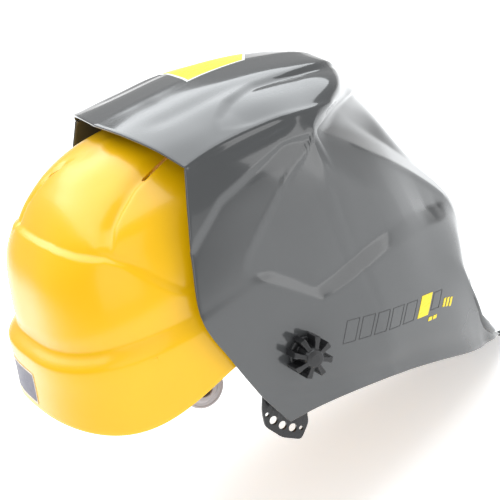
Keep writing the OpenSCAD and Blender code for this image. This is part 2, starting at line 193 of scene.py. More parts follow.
def fix_normals(ob):
    bm = bmesh.new()
    bm.from_mesh(ob.data)
    bmesh.ops.remove_doubles(bm, verts=bm.verts, dist=1e-7)
    bmesh.ops.recalc_face_normals(bm, faces=bm.faces)
    bm.to_mesh(ob.data)
    bm.free()


def smooth(ob, angle=35):
    me = ob.data
    me.polygons.foreach_set("use_smooth", [True] * len(me.polygons))
    if angle is not None:
        me.set_sharp_from_angle(angle=math.radians(angle))
    me.update()


def bake_mods(ob, angle=35):
    dg = bpy.context.evaluated_depsgraph_get()
    dg.update()
    me = bpy.data.meshes.new_from_object(ob.evaluated_get(dg))
    old = ob.data
    ob.modifiers.clear()
    ob.data = me
    bpy.data.meshes.remove(old)
    smooth(ob, angle)
    return ob


def boolean(ob, cutter, op="DIFFERENCE", angle=35):
    m = ob.modifiers.new("b", "BOOLEAN")
    m.operation = op
    m.object = cutter
    m.solver = "EXACT"
    bake_mods(ob, angle)
    bpy.data.objects.remove(cutter)
    return ob


def voxel(ob, size, rounds=4, factor=0.5, angle=60):
    m = ob.modifiers.new("v", "REMESH")
    m.mode = "VOXEL"
    m.voxel_size = size * MM
    s = ob.modifiers.new("s", "SMOOTH")
    s.iterations = rounds
    s.factor = factor
    return bake_mods(ob, angle)


def rim_loop(shape, closed):
    n, m = shape
    if closed:
        return [((n - 1), j) for j in range(m)]
    return ([(0, j) for j in range(m)] + [(i, m - 1) for i in range(1, n)]
            + [(n - 1, j) for j in range(m - 2, -1, -1)] + [(i, 0) for i in range(n - 2, 0, -1)])


def wall(name, A, B, closed=False, cap=None, arc=4, angle=35):
    """A closed wall between an outer grid A and inner grid B, with a rounded rim."""
    n, m, _ = A.shape
    V = [A.reshape(-1, 3), B.reshape(-1, 3)]
    o = n * m
    F = []
    mm = m if closed else m - 1
    I, J = np.meshgrid(np.arange(n - 1), np.arange(mm), indexing="ij")
    J2 = (J + 1) % m
    a, b, c, d = I * m + J, I * m + J2, (I + 1) * m + J2, (I + 1) * m + J
    F += np.stack([a, b, c, d], -1).reshape(-1, 4).tolist()
    F += (np.stack([d, c, b, a], -1).reshape(-1, 4) + o).tolist()
    loop = rim_loop((n, m), closed)
    L = len(loop)
    rows = [[i * m + j for i, j in loop]]
    base = 2 * o
    for s in range(1, arc):
        ph = math.pi * s / arc
        pts = []
        for i, j in loop:
            ii = 1 if i == 0 and not closed else (n - 2 if i == n - 1 else i)
            jj = j if closed else (1 if j == 0 else (m - 2 if j == m - 1 else j))
            O, Q = A[i, j], B[i, j]
            T = O - A[ii, jj]
            T = T / max(np.linalg.norm(T), 1e-9)
            h = (O - Q) / 2
            pts.append((O + Q) / 2 + math.cos(ph) * h + math.sin(ph) * T * np.linalg.norm(h))
        V.append(np.array(pts))
        rows.append(list(range(base, base + L)))
        base += L
    rows.append([o + i * m + j for i, j in loop])
    for r0, r1 in zip(rows[:-1], rows[1:]):
        for k in range(L):
            k2 = (k + 1) % L
            F.append([r0[k], r0[k2], r1[k2], r1[k]])
    if cap:
        V.append(np.array(cap))
        t0, t1 = base, base + 1
        for j in range(m):
            k = (j + 1) % m
            F.append([j, t0, k])
            F.append([o + j, o + k, t1])
    return new_mesh(name, np.concatenate(V), F, angle)


def prism(name, outline, y0, y1, bevel=0.0, seg=3):
    """A plate in the XZ plane between y0 and y1."""
    n = len(outline)
    V = [(x, y0, z) for x, z in outline] + [(x, y1, z) for x, z in outline]
    F = [list(range(n))[::-1], list(range(n, 2 * n))] + [[i, (i + 1) % n, n + (i + 1) % n, n + i] for i in range(n)]
    ob = new_mesh(name, V, F)
    return ob


def bevel(ob, width, seg=3, angle=30, smooth_angle=35):
    m = ob.modifiers.new("bv", "BEVEL")
    m.width = width * MM
    m.segments = seg
    m.limit_method = "ANGLE"
    m.angle_limit = math.radians(angle)
    return bake_mods(ob, smooth_angle)


def lathe(name, profile, centre, axis=1, n=96, sign=1, angle=40):
    """Turns (radius, along) about an axis through centre. A closed profile makes a ring."""
    P = np.array(profile, float)
    k = len(P)
    V, F = [], []
    for i in range(n):
        a = 2 * math.pi * i / n
        for r, t in P:
            v = [0, 0, 0]
            v[axis] = t * sign
            v[(axis + 1) % 3] = r * math.cos(a)
            v[(axis + 2) % 3] = r * math.sin(a)
            V.append([v[q] + centre[q] for q in range(3)])
    for i in range(n):
        i2 = (i + 1) % n
        for j in range(k):
            j2 = (j + 1) % k
            F.append([i * k + j, i * k + j2, i2 * k + j2, i2 * k + j])
    return new_mesh(name, V, F, angle)


def round_poly(pts, r, n=5):
    """Rounds the corners of a convex-ish outline."""
    out = []
    N = len(pts)
    for i in range(N):
        p0, p1, p2 = (np.array(pts[k % N], float) for k in (i - 1, i, i + 1))
        a, b = (p0 - p1), (p2 - p1)
        la, lb = np.linalg.norm(a), np.linalg.norm(b)
        rr = min(r, la * 0.45, lb * 0.45)
        s, e = p1 + a / la * rr, p1 + b / lb * rr
        for k in range(n + 1):
            t = k / n
            out.append(tuple((1 - t) ** 2 * s + 2 * t * (1 - t) * p1 + t * t * e))
    return out


def transform_local(V, origin, ang):
    """Local window or nape coordinates to the row frame."""
    V = np.asarray(V, float)
    c, s = math.cos(ang), math.sin(ang)
    return np.stack([origin[0] + V[:, 0] * c + V[:, 2] * s, origin[1] + V[:, 1], origin[2] - V[:, 0] * s + V[:, 2] * c], 1)


def put(ob, body, mat, *nodes, slot=None):
    ob.data.materials.clear()
    ob.data.materials.append(mat)
    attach(ob, body)
    if nodes:
        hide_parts(*nodes)
    return ob


# ------------------------------------------------------------------ materials
def nodes_of(name):
    m = bpy.data.materials.new(name)
    m.use_nodes = True
    nt = m.node_tree
    bs = nt.nodes["Principled BSDF"]
    tc = nt.nodes.new("ShaderNodeTexCoord")
    return m, nt, bs, tc


def noise(nt, tc, scale, detail=4, rough=0.55, out="Object", stretch=None):
    n = nt.nodes.new("ShaderNodeTexNoise")
    n.inputs["Scale"].default_value = scale
    n.inputs["Detail"].default_value = detail
    n.inputs["Roughness"].default_value = rough
    src = tc.outputs[out]
    if stretch:
        mp = nt.nodes.new("ShaderNodeMapping")
        mp.inputs["Scale"].default_value = stretch
        nt.links.new(src, mp.inputs["Vector"])
        src = mp.outputs["Vector"]
    nt.links.new(src, n.inputs["Vector"])
    return n


def ramp(nt, fac, stops):
    r = nt.nodes.new("ShaderNodeValToRGB")
    e = r.color_ramp.elements
    while len(e) < len(stops):
        e.new(0.5)
    for k, (p, c) in enumerate(stops):
        e[k].position = p
        e[k].color = (*c, 1) if len(c) == 3 else c
    nt.links.new(fac, r.inputs["Fac"])
    return r


def maprange(nt, fac, a, b, lo, hi):
    m = nt.nodes.new("ShaderNodeMapRange")
    m.inputs["From Min"].default_value = a
    m.inputs["From Max"].default_value = b
    m.inputs["To Min"].default_value = lo
    m.inputs["To Max"].default_value = hi
    nt.links.new(fac, m.inputs["Value"])
    return m


def bump(nt, bs, height, strength, dist, chain=None):
    b = nt.nodes.new("ShaderNodeBump")
    b.inputs["Strength"].default_value = strength
    b.inputs["Distance"].default_value = dist
    nt.links.new(height, b.inputs["Height"])
    if chain:
        nt.links.new(chain.outputs["Normal"], b.inputs["Normal"])
    nt.links.new(b.outputs["Normal"], bs.inputs["Normal"])
    return b


def plastic(name, dark, light, rough=(0.2, 0.3), coat=0.0, peel=0.02, grain=None, spec=0.5, sub=0.0, scale=14, edge=None):
    m, nt, bs, tc = nodes_of(name)
    big = noise(nt, tc, scale, 5, 0.6)
    c = ramp(nt, big.outputs["Fac"], [(0.3, dark), (0.7, light)])
    colour = c.outputs["Color"]
    if edge is not None:
        # slightly paler on convex edges
        ge = nt.nodes.new("ShaderNodeNewGeometry")
        er = ramp(nt, ge.outputs["Pointiness"], [(0.50, (0, 0, 0)), (0.60, (1, 1, 1))])
        mx = nt.nodes.new("ShaderNodeMix")
        mx.data_type = "RGBA"
        nt.links.new(er.outputs["Color"], mx.inputs["Factor"])
        nt.links.new(colour, mx.inputs["A"])
        mx.inputs["B"].default_value = (*edge, 1)
        colour = mx.outputs["Result"]
    nt.links.new(colour, bs.inputs["Base Color"])
    sc = noise(nt, tc, 300, 3, 0.6, stretch=(0.25, 1.0, 4.0))
    r = maprange(nt, sc.outputs["Fac"], 0.3, 0.75, rough[0], rough[1])
    nt.links.new(r.outputs["Result"], bs.inputs["Roughness"])
    bs.inputs["Specular IOR Level"].default_value = spec
    bs.inputs["Coat Weight"].default_value = coat
    bs.inputs["Coat Roughness"].default_value = 0.06
    if sub:
        bs.inputs["Subsurface Weight"].default_value = sub
        bs.inputs["Subsurface Radius"].default_value = (0.004, 0.003, 0.001)
    pe = noise(nt, tc, 120, 2, 0.5)
    b = bump(nt, bs, pe.outputs["Fac"], peel, 0.001)
    if grain:
        g = noise(nt, tc, grain[0], 3, 0.6)
        bump(nt, bs, g.outputs["Fac"], grain[1], 0.0006, chain=b)
    return m


def metal(name, dark, light, rough=(0.25, 0.4)):
    m, nt, bs, tc = nodes_of(name)
    n1 = noise(nt, tc, 60, 4)
    c = ramp(nt, n1.outputs["Fac"], [(0.3, dark), (0.7, light)])
    nt.links.new(c.outputs["Color"], bs.inputs["Base Color"])
    bs.inputs["Metallic"].default_value = 1.0
    n2 = noise(nt, tc, 400, 3, stretch=(1, 6, 1))
    r = maprange(nt, n2.outputs["Fac"], 0.3, 0.7, *rough)
    nt.links.new(r.outputs["Result"], bs.inputs["Roughness"])
    bump(nt, bs, n2.outputs["Fac"], 0.05, 0.0004)
    return m


def fabric(name, dark, light, pitch=900, sheen=0.3, out="UV"):
    m, nt, bs, tc = nodes_of(name)
    big = noise(nt, tc, 35, 4)
    waves = []
    for axis in ("X", "Y"):
        w = nt.nodes.new("ShaderNodeTexWave")
        w.wave_type = "BANDS"
        w.bands_direction = axis
        w.inputs["Scale"].default_value = pitch
        w.inputs["Distortion"].default_value = 0.6
        w.inputs["Detail"].default_value = 1
        nt.links.new(tc.outputs[out], w.inputs["Vector"])
        waves.append(w)
    mul = nt.nodes.new("ShaderNodeMath")
    mul.operation = "MULTIPLY"
    nt.links.new(waves[0].outputs["Fac"], mul.inputs[0])
    nt.links.new(waves[1].outputs["Fac"], mul.inputs[1])
    add = nt.nodes.new("ShaderNodeMath")
    add.operation = "ADD"
    nt.links.new(mul.outputs[0], add.inputs[0])
    nt.links.new(big.outputs["Fac"], add.inputs[1])
    c = ramp(nt, add.outputs[0], [(0.35, dark), (1.0, light)])
    nt.links.new(c.outputs["Color"], bs.inputs["Base Color"])
    bs.inputs["Roughness"].default_value = 0.85
    bs.inputs["Sheen Weight"].default_value = sheen
    bump(nt, bs, mul.outputs[0], 0.6, 0.0004)
    return m


def clear(name, tint, rough=0.03, alpha_trans=1.0):
    m, nt, bs, tc = nodes_of(name)
    n1 = noise(nt, tc, 25, 4)
    c = ramp(nt, n1.outputs["Fac"], [(0.3, tint), (0.7, tuple(min(1, v * 1.06) for v in tint))])
    nt.links.new(c.outputs["Color"], bs.inputs["Base Color"])
    bs.inputs["Transmission Weight"].default_value = alpha_trans
    bs.inputs["IOR"].default_value = 1.49
    n2 = noise(nt, tc, 300, 3, stretch=(1, 5, 1))
    r = maprange(nt, n2.outputs["Fac"], 0.4, 0.8, rough, rough + 0.06)
    nt.links.new(r.outputs["Result"], bs.inputs["Roughness"])
    return m


M_HAT = plastic("hat_yellow_abs", (0.90, 0.50, 0.0), (0.94, 0.54, 0.001), (0.24, 0.27), coat=0.15, peel=0.002, scale=9)
M_HOOD = plastic("hood_grey_gloss", (0.062, 0.065, 0.067), (0.070, 0.073, 0.075), (0.11, 0.16), coat=0.55, peel=0.006, scale=10)
M_KNOB = plastic("knob_black", (0.006, 0.006, 0.007), (0.014, 0.014, 0.015), (0.26, 0.40), peel=0.03, grain=(1400, 0.12), edge=(0.05, 0.05, 0.052))
M_BLACK = plastic("harness_black", (0.010, 0.010, 0.011), (0.020, 0.020, 0.022), (0.38, 0.55), peel=0.04, grain=(1100, 0.25))
M_PLATE = plastic("plate_black", (0.005, 0.005, 0.006), (0.012, 0.012, 0.013), (0.24, 0.36), peel=0.03, grain=(1200, 0.1), edge=(0.04, 0.04, 0.042))
M_RING = plastic("ring_warm_grey", (0.46, 0.42, 0.42), (0.56, 0.52, 0.52), (0.30, 0.42), peel=0.02, grain=(900, 0.08))
M_YEL = plastic("film_yellow", (0.86, 0.66, 0.01), (0.93, 0.74, 0.02), (0.25, 0.35), peel=0.01)
M_WHITE = plastic("film_white", (0.78, 0.78, 0.76), (0.86, 0.86, 0.84), (0.28, 0.38), peel=0.01)
M_LINE = plastic("film_line", (0.030, 0.030, 0.032), (0.045, 0.045, 0.048), (0.3, 0.4), peel=0.01)
M_SLATE = plastic("film_slate", (0.060, 0.050, 0.095), (0.085, 0.072, 0.125), (0.3, 0.42), peel=0.01)
M_CREAM = plastic("film_cream", (0.72, 0.60, 0.42), (0.80, 0.69, 0.52), (0.3, 0.42), peel=0.01)
M_STEEL = metal("steel_zinc", (0.52, 0.52, 0.54), (0.68, 0.68, 0.70))
M_BRASS = metal("brass_turned", (0.62, 0.44, 0.17), (0.75, 0.56, 0.25))
M_RUB = plastic("washer_rubber", (0.018, 0.018, 0.018), (0.03, 0.03, 0.03), (0.65, 0.85), peel=0.05, grain=(700, 0.3), spec=0.3)
M_WEB = fabric("webbing_weave", (0.008, 0.008, 0.009), (0.035, 0.035, 0.037), pitch=300)
M_KNIT = fabric("knit_cover", (0.012, 0.012, 0.014), (0.040, 0.040, 0.044), pitch=260, sheen=0.45)
M_CLEAR = clear("cover_clear", (0.92, 0.95, 0.96))
M_FILTER = plastic("filter_dark", (0.003, 0.012, 0.008), (0.006, 0.020, 0.013), (0.04, 0.09), coat=0.8, peel=0.004)
M_SOLAR = plastic("solar_blue", (0.010, 0.008, 0.035), (0.025, 0.018, 0.065), (0.10, 0.2), coat=0.6, scale=220)
M_SENSOR = plastic("sensor_red", (0.035, 0.003, 0.003), (0.07, 0.006, 0.006), (0.08, 0.15), coat=0.6)
M_BUTTON = plastic("button_red", (0.42, 0.018, 0.012), (0.52, 0.026, 0.018), (0.3, 0.42), grain=(900, 0.1))

# ------------------------------------------------------------------ hood shell
NU, NV = 24, 16


def hood_grid(nu=NU, nv=NV):
    crease_r = np.zeros((13, 10))
    crease_r[5] = [1, 1, 1, 1, 1, 0.6, 0.2, 0, 0, 0]
    P = spline(HOOD, nu, crease_r)                       # (rows, 10, 3)
    r = np.linspace(0, 12, len(P))
    cc = np.zeros((10, len(P)))
    cc[3] = np.clip(1.0 - (r - 8.0) / 1.5, 0, 1)         # roof edge, then the inner front ridge
    cc[4] = np.clip(np.minimum((r - 3.6) / 1.2, 1 - (r - 8.0) / 1.5), 0, 1)   # the outer front ridge
    Q = spline(P.transpose(1, 0, 2), nv, cc).transpose(1, 0, 2)
    c = np.linspace(0, 9, Q.shape[1])
    return Q, r, c


# side panel: a facet sunk below the two upper edges, over a V-shaped ledge
V_UP = [(20, 88), (30, 85), (40, 80), (52, 68), (64, 54), (78, 53), (95, 54), (112, 56), (130, 56), (153, 52), (176, 43), (198, 32)]
V_LO = [(20, 86), (30, 76), (41, 64), (51, 53), (61, 43), (76, 44), (100, 45), (124, 43), (150, 38), (169, 31), (186, 24), (198, 17)]
TOP = [(20, 90), (44, 108), (65, 121), (86, 132), (111, 141), (135, 117), (151, 97), (175, 67), (198, 32)]


def side_depth(x):
    return np.interp(x, [20, 34, 50, 64, 80, 90, 103, 117, 132, 147, 160, 175, 186, 198], [0, 1.6, 2.6, 2.7, 3.6, 4.4, 4.0, 3.0, 1.9, 1.5, 2.1, 4.0, 3.2, 0])


def hood_features(Q, r, c):
    """Inward depth in mm at every vertex of the y>=0 half."""
    x, y, z = Q[..., 0], Q[..., 1], Q[..., 2]
    R, C = np.meshgrid(r, c, indexing="ij")
    side = (C > 2.5)
    dl, du, dt = poly_dist(x, z, V_LO), poly_dist(x, z, V_UP), poly_dist(x, z, TOP)
    D = side_depth(x)
    facet = inside(x, z, TOP + V_UP[::-1])
    ledge = inside(x, z, V_UP + V_LO[::-1])
    step = 0.9 * sstep(0, 2.0, dt)
    d = np.where(facet & side, step + np.maximum(D - 0.9, 0) * dt / (dt + du + 1e-6), 0.0)
    d = np.where(facet & side, np.minimum(d, D), d)
    d = np.where(ledge & side & ~facet, D * dl / (dl + du + 1e-6), d)
    # brow scoop: a lens-shaped hollow in each side of the roof, against the roof's lower edge
    vt = np.interp(R, [1.15, 1.35, 1.7, 2.3, 2.9, 3.6, 4.3, 5.0], [2.55, 2.0, 1.62, 1.28, 1.2, 1.05, 0.65, 0.0])
    vb = np.interp(R, [1.15, 1.35, 1.6, 2.0, 2.6, 3.2, 5.0], [2.55, 2.78, 2.92, 2.95, 2.97, 3.0, 3.0])
    h = np.clip((C - vt) / 0.10, 0, 1) * np.clip((vb - C) / 0.16, 0, 1)
    amount = np.interp(R, [1.15, 1.6, 3.0, 4.4, 5.0], [0, 2.6, 3.0, 1.6, 0])
    t = np.clip((C - vt) / np.maximum(vb - vt, 1e-3), 0, 1)
    scoop = amount * (1 - 0.75 * t) * (h > 0) * np.minimum(h, 1)
    scoop = np.where((R > 1.15) & (R < 5.0), scoop, 0)
    # soft upper crease of the roof
    soft = 0.9 * np.exp(-((C - 1.25) / 0.22) ** 2) * sstep(0.1, 0.8, R) * (1 - sstep(3.4, 4.4, R))
    # second and fourth lines on the cheek behind the brow
    q2 = np.interp(R, [0, 0.8, 1.4, 2.3], [3.1, 3.4, 3.5, 3.4])
    band = np.where((C > 3.02) & (C < q2), 1.0, 0.0) * np.clip((C - 3.02) / 0.1, 0, 1) * np.clip((q2 - C) / 0.08, 0, 1) * (1 - sstep(1.9, 2.5, R))
    q4 = np.interp(R, [0, 0.3, 0.6, 1.0, 1.6, 1.9, 3.7], [4.8, 4.5, 4.2, 4.1, 3.9, 3.8, 4.0])
    step4 = 1.5 * (1 - sstep(-0.10, 0.02, q4 - C)) * np.exp(-np.clip(C - q4, 0, None) * 1.1) * (1 - sstep(3.0, 3.8, R))
    step4 = np.where(C > 3.3, step4, 0)
    # lip above the lower edge
    lipc = np.interp(R, [0, 0.7, 1.5, 2.7, 5.5, 7.3, 9], [7.9, 8.3, 8.6, 8.8, 8.8, 8.8, 8.9])
    lip = 1.3 * np.exp(-((C - lipc) / 0.16) ** 2) * (1 - sstep(8.4, 9.6, R)) * sstep(-0.3, 0.4, R)
    # short undercut just below the roof's front edge
    under = 1.8 * sstep(5.0, 5.12, R) * (1 - sstep(5.3, 6.4, R)) * (1 - sstep(3.4, 4.4, C))
    d = d + under + scoop + soft + 0.9 * band + step4 * ~(facet & side) * (C < 6) + lip
    return d


def mirror_half(Q):
    L = Q[:, :0:-1].copy()
    L[..., 1] *= -1
    return np.concatenate([L, Q], axis=1)


NL, NTH = 14, 480


def hat_grid(nl=NL, nt=NTH):
    z = np.zeros((len(HAT), 1))
    crease = np.zeros((len(HAT), 1))
    crease[7], crease[8] = 0.75, 0.75
    H = spline(HAT[:, None, :], nl, crease)[:, 0]
    th = np.linspace(0, 2 * math.pi, nt, endpoint=False)
    c, s = np.cos(th), np.sin(th)
    rows = []
    for xr, xf, w, zr, zs, zf, e, dip in H:
        p = 2 / e
        cx, sy = np.sign(c) * np.abs(c) ** p, np.sign(s) * np.abs(s) ** p
        xc = (xr + xf) / 2
        x = np.where(c > 0, xc + (xf - xc) * cx, xc + (xc - xr) * cx)
        q = cx ** 2
        zz = np.where(c > 0, zs + (zf - zs) * q, zs + (zr - zs) * q - dip * 6.75 * q * (1 - np.abs(cx)))
        rows.append(np.stack([x, w * sy, zz], 1))
    return np.array(rows), np.linspace(0, len(HAT) - 1, len(rows)), th


def swing_cap(P, N, d):
    """Limit each inward depth to what clears the hat over the hood's whole travel, less 0.9 mm."""
    H, rho, th = hat_grid(5, 180)
    M = grid_normals(H, closed=True)
    if np.mean(np.sum(M * (H - np.array([10, 0, 60])), axis=2)) < 0:
        M = -M
    hp, hn = H.reshape(-1, 3), M.reshape(-1, 3)
    tree = KDTree(len(hp))
    for i, v in enumerate(hp):
        tree.insert(v, i)
    tree.balance()
    out = np.array(d)
    for i, j in np.argwhere(d > 0.15):
        q = P[i, j] - N[i, j] * 2.4
        x, z = q[0] - K[0], q[2] - K[2]
        room = 99.0
        for a in (0, 12, 24, 36, 46, 54, 60, 65):
            ca, sa = math.cos(math.radians(a)), math.sin(math.radians(a))
            w = np.array([K[0] + x * ca - z * sa, q[1], K[2] + x * sa + z * ca])
            if w[2] < 30:
                continue
            co, k, dist = tree.find(w)
            if dist < 25:
                room = min(room, float((w - hp[k]) @ hn[k]))
        out[i, j] = min(d[i, j], max(0.0, room - 0.9))
    return out


def build_hood():
    Q, r, c = hood_grid()
    d = hood_features(Q, r, c)
    full = mirror_half(Q)
    N = grid_normals(full)
    out = np.array([np.mean(full[..., k]) for k in range(3)])
    mid = full[len(full) // 2, full.shape[1] // 2]
    if np.dot(N[len(full) // 2, full.shape[1] // 2], mid - np.array([60, 0, 60])) < 0:
        N = -N
    # gentle crease radius
    edge = np.zeros(full.shape[:2], bool)
    edge[[0, -1]] = True
    edge[:, [0, -1]] = True
    base = relax(full, 2, edge)
    w = Q.shape[1]
    d = swing_cap(base[:, w - 1:], N[:, w - 1:], d)
    dd = np.concatenate([d[:, :0:-1], d], axis=1)
    G = base - N * dd[..., None]
    G = relax(G, 1, edge)
    Ng = grid_normals(G)
    if np.sum(Ng * N) < 0:
        Ng = -Ng
    Ni = relax(Ng, 6)
    Ni /= np.linalg.norm(Ni, axis=2, keepdims=True)
    inner = relax(G, 3, edge) - Ni * 2.3
    return G, inner, Ng


HG, HI, HN = build_hood()
hood = wall("hood_shell_visual", HG, HI, arc=5, angle=50)


def local_box(name, x0, x1, y0, y1, z0, z1, origin, ang, rad=0.0, seg=6):
    """A rounded-rectangle prism along local x."""
    out = round_poly([(y0, z0), (y1, z0), (y1, z1), (y0, z1)], rad, seg) if rad else [(y0, z0), (y1, z0), (y1, z1), (y0, z1)]
    n = len(out)
    V = [(x0, y, z) for y, z in out] + [(x1, y, z) for y, z in out]
    V = transform_local(V, origin, ang)
    F = [list(range(n))[::-1], list(range(n, 2 * n))] + [[i, (i + 1) % n, n + (i + 1) % n, n + i] for i in range(n)]
    return new_mesh(name, V, F)


def cyl(name, centre, r, y0, y1, n=64):
    V = [(centre[0] + r * math.cos(2 * math.pi * i / n), y, centre[2] + r * math.sin(2 * math.pi * i / n)) for y in (y0, y1) for i in range(n)]
    F = [list(range(n))[::-1], list(range(n, 2 * n))] + [[i, (i + 1) % n, n + (i + 1) % n, n + i] for i in range(n)]
    return new_mesh(name, V, F)


# window bezel, clamp bosses and screw posts join the shell, then the openings are cut
boolean(hood, local_box("t", -30, 30, -39, 39, -24, 24, WIN, WT, 5), angle=50)
for s in (1, -1):
    boolean(hood, cyl("t", K, 4.1, 100 * s, 130 * s), angle=50)
bez_o = round_poly([(-43, -28), (43, -28), (43, 28), (-43, 28)], 7, 6)
bez_i = round_poly([(-39, -24), (39, -24), (39, 24), (-39, 24)], 5, 6)
n_b = len(bez_o)
BV = [(-9, *p) for p in bez_o] + [(-2.4, *p) for p in bez_o] + [(-9, *p) for p in bez_i] + [(-2.4, *p) for p in bez_i]
BF = []
for i in range(n_b):
    j = (i + 1) % n_b
    BF += [[i, j, n_b + j, n_b + i], [2 * n_b + j, 2 * n_b + i, 3 * n_b + i, 3 * n_b + j],
           [n_b + i, n_b + j, 3 * n_b + j, 3 * n_b + i], [j, i, 2 * n_b + i, 2 * n_b + j]]
bezel = bevel(new_mesh("window_bezel", transform_local(BV, WIN, WT), BF), 0.6)
put(hood, "hood", M_HOOD, "hood_shell", slot="hood_grey")
put(bezel, "hood", M_HOOD, slot="hood_grey")
for s, side in ((1, "left"), (-1, "right")):
    boss = lathe(f"clamp_boss_{side}", [(4.1, 110.4), (11.0, 110.4), (11.5, 110.9), (11.5, 115.6), (4.1, 115.6)], K, sign=s)
    put(boss, "hood", M_HOOD, slot="hood_grey")
for k, (y, z) in enumerate([(-36, -41), (-36, 41), (36, -41), (36, 41)]):
    n = 40
    ring = [(math.cos(2 * math.pi * i / n), math.sin(2 * math.pi * i / n)) for i in range(n)]
    V, F = [], []
    for (xa, rad) in ((-19.6, 1.3), (-19.6, 2.7), (-19.3, 3.0), (-4.0, 3.4), (-4.0, 1.3)):
        V += [(xa, y + rad * a, z + rad * b) for a, b in ring]
    for q in range(5):
        q2 = (q + 1) % 5
        F += [[q * n + i, q * n + (i + 1) % n, q2 * n + (i + 1) % n, q2 * n + i] for i in range(n)]
    put(new_mesh(f"screw_post_{k}", transform_local(V, WIN, WT), F), "hood", M_HOOD, slot="hood_grey")

# ------------------------------------------------------------------ hat shell
# grooves as points on the dome (mm); the first end is low, the last runs into the vent
GROOVE_B = [(-49, 79, 131), (-45, 79, 134), (-41, 78, 138), (-34, 73, 146), (-24, 69, 151), (-17, 67, 154), (-7, 63, 158), (2, 61, 160), (20, 56, 163), (40, 51, 165)]
GROOVE_A = [(-70, 44, 133), (-63, 42, 141), (-52, 41, 150), (-43, 34, 157), (-34, 28, 163), (-26, 18, 167)]


def path_field(G, path):
    """Distance, signed side and fraction along a 3D path for each vertex."""
    P = np.array(path, float)
    best = np.full(G.shape[:2], 1e9)
    side = np.zeros(G.shape[:2])
    frac = np.zeros(G.shape[:2])
    seg = np.linalg.norm(P[1:] - P[:-1], axis=1)
    cum = np.concatenate([[0], np.cumsum(seg)])
    for k in range(len(P) - 1):
        d = P[k + 1] - P[k]
        v = G - P[k]
        t = np.clip((v @ d) / (d @ d), 0, 1)
        w = v - t[..., None] * d
        dist = np.linalg.norm(w, axis=2)
        up = G - np.array([10, 0, 60])
        sg = np.sum(np.cross(np.broadcast_to(d, G.shape), w) * up, axis=2)
        m = dist < best
        best = np.where(m, dist, best)
        side = np.where(m, np.sign(sg), side)
        frac = np.where(m, (cum[k] + t * seg[k]) / cum[-1], frac)
    return best, side, frac


def build_hat():
    G, rho, th = hat_grid()
    N = grid_normals(G, closed=True)
    if np.mean(np.sum(N * (G - np.array([10, 0, 60])), axis=2)) < 0:
        N = -N
    R, T = np.meshgrid(rho, th, indexing="ij")
    deg = np.degrees(T)
    back = np.minimum(np.abs(deg - 180), 180)            # degrees away from the rear
    line = np.interp(back, [0, 12, 28, 44, 56, 66, 73, 82, 95, 110, 140, 180], [3.6, 3.6, 3.8, 4.1, 4.4, 4.9, 5.4, 6.2, 6.6, 6.7, 6.7, 6.7])
    up = line - R
    d = 2.5 * sstep(-0.02, 0.13, up) * np.exp(-np.clip(up, 0, None) * 1.3) * (1 - sstep(95, 125, back))
    # side grooves, both sides
    for sy in (1, -1):
        dist, side, f = path_field(G, [(x, sy * y, z) for x, y, z in GROOVE_B])
        side = side * sy
        near = np.where(side > 0, 1.7, 9.5 - 3.5 * f)
        g = np.exp(-(dist / near) ** 2)
        d += 3.0 * g * sstep(0.02, 0.24, f) * (1 - sstep(0.90, 1.0, f))
    dist, side, f = path_field(G, GROOVE_A)
    near = np.where(side > 0, 6.5, 1.7)
    d += 2.6 * np.exp(-(dist / near) ** 2) * sstep(0.02, 0.24, f)
    G2 = G - N * d[..., None]
    G2 = relax(G2, 1, closed=True)
    N2 = grid_normals(G2, closed=True)
    if np.sum(N2 * N) < 0:
        N2 = -N2
    return G2, G2 - N * 2.5, N2


TG, TI, TN = build_hat()
cap = [(TG[0, 0] + TG[0, NTH // 2]) / 2, (TI[0, 0] + TI[0, NTH // 2]) / 2]
hat = wall("hat_shell_visual", TG, TI, closed=True, cap=cap, arc=5, angle=50)


def slot_cutter(a, b, width, depth=14):
    """A round-ended slot cutter through the dome between two surface points."""
    a, b = np.array(a, float), np.array(b, float)
    mid = (a + b) / 2
    up = mid - np.array([10, 0, 60])
    t = (b - a) / np.linalg.norm(b - a)
    up = up - (up @ t) * t
    up /= np.linalg.norm(up)
    s = np.cross(up, t)
    L, w = np.linalg.norm(b - a) / 2, width / 2
    prof = [(L + w * math.cos(q), w * math.sin(q)) for q in np.linspace(-math.pi / 2, math.pi / 2, 11)]
    prof += [(-L + w * math.cos(q), w * math.sin(q)) for q in np.linspace(math.pi / 2, 3 * math.pi / 2, 11)]
    n = len(prof)
    V = [mid + p * t + q * s + h * up for h in (-depth, depth) for p, q in prof]
    F = [list(range(n))[::-1], list(range(n, 2 * n))] + [[i, (i + 1) % n, n + (i + 1) % n, n + i] for i in range(n)]
    return new_mesh("t", V, F)


for s in (1, -1):
    boolean(hat, slot_cutter((3, 61 * s, 160), (40, 51 * s, 165), 3.6), angle=50)
boolean(hat, slot_cutter((-33, 29, 164), (-26, 16, 168), 5.0), angle=50)
put(hat, "hat", M_HAT, "hat_shell", slot="hat_yellow")

